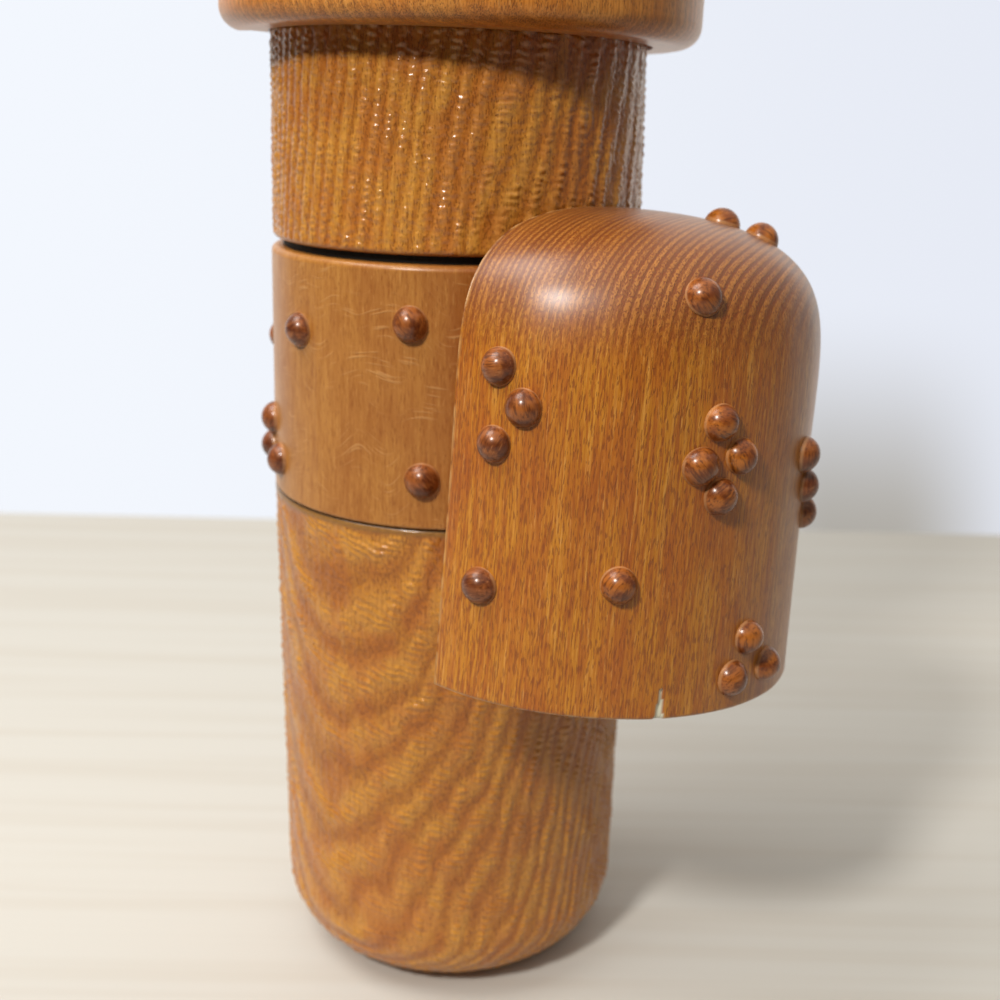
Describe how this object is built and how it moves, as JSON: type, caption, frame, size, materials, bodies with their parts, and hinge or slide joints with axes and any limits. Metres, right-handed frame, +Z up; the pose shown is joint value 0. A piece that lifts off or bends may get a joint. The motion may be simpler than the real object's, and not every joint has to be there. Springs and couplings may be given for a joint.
{
  "type": "kokeshi doll",
  "caption": "Turned wooden kokeshi doll: a round column body with carved grain and a beaded sash, a domed bob-haired head that turns, and a pegged half-dome sash knot at the back.",
  "frame": {"origin": "centre of the flat base, on the column's axis", "axes": "+Z up, the face looks along -Y, the sash knot hangs on the +Y side"},
  "size_m": [0.0754, 0.1028, 0.2181],
  "materials": {
    "carved_wood": "lacquered, ring-textured",
    "smooth_wood": "satin lacquer",
    "bead_wood": "polished",
    "black_wood": "black stain",
    "pale_wood": "waxed",
    "dowel_wood": "raw"
  },
  "bodies": {
    "torso": {"lower_body": "carved_wood", "obi_band": "smooth_wood", "waist_spacer": "black_wood", "upper_body": "carved_wood", "body_dowel": "dowel_wood", "band_front_quad_beads": "bead_wood", "band_left_lower_back_bead": "bead_wood", "band_left_side_bead": "bead_wood", "band_left_trio_beads": "bead_wood", "band_left_upper_back_bead": "bead_wood", "band_left_upper_front_bead": "bead_wood", "band_right_lower_back_bead": "bead_wood", "band_right_side_bead": "bead_wood", "band_right_trio_beads": "bead_wood", "band_right_upper_back_bead": "bead_wood", "band_right_upper_front_bead": "bead_wood"},
    "head": {"hair_cap": "smooth_wood", "face_block": "pale_wood", "neck_dowel": "dowel_wood"},
    "knot": {"obi_knot": "smooth_wood", "knot_peg": "dowel_wood", "knot_back_trio_beads": "bead_wood", "knot_centre_lower_bead": "bead_wood", "knot_centre_quad_beads": "bead_wood", "knot_crown_pair_beads": "bead_wood", "knot_foot_trio_beads": "bead_wood", "knot_left_lower_bead": "bead_wood", "knot_left_trio_beads": "bead_wood", "knot_right_lower_bead": "bead_wood", "knot_right_trio_beads": "bead_wood", "knot_upper_bead": "bead_wood"}
  },
  "joints": [
    {"name": "head_turn", "type": "hinge", "parent": "torso", "child": "head", "pos_m": [-0.0004, 0, 0.156], "axis": [-0.0288, 0, 0.9996], "continuous": true},
    {"name": "knot_turn", "type": "hinge", "parent": "torso", "child": "knot", "pos_m": [0, 0.031, 0.105], "axis": [0, 1, 0], "range_deg": [-115, 124]}
  ]
}
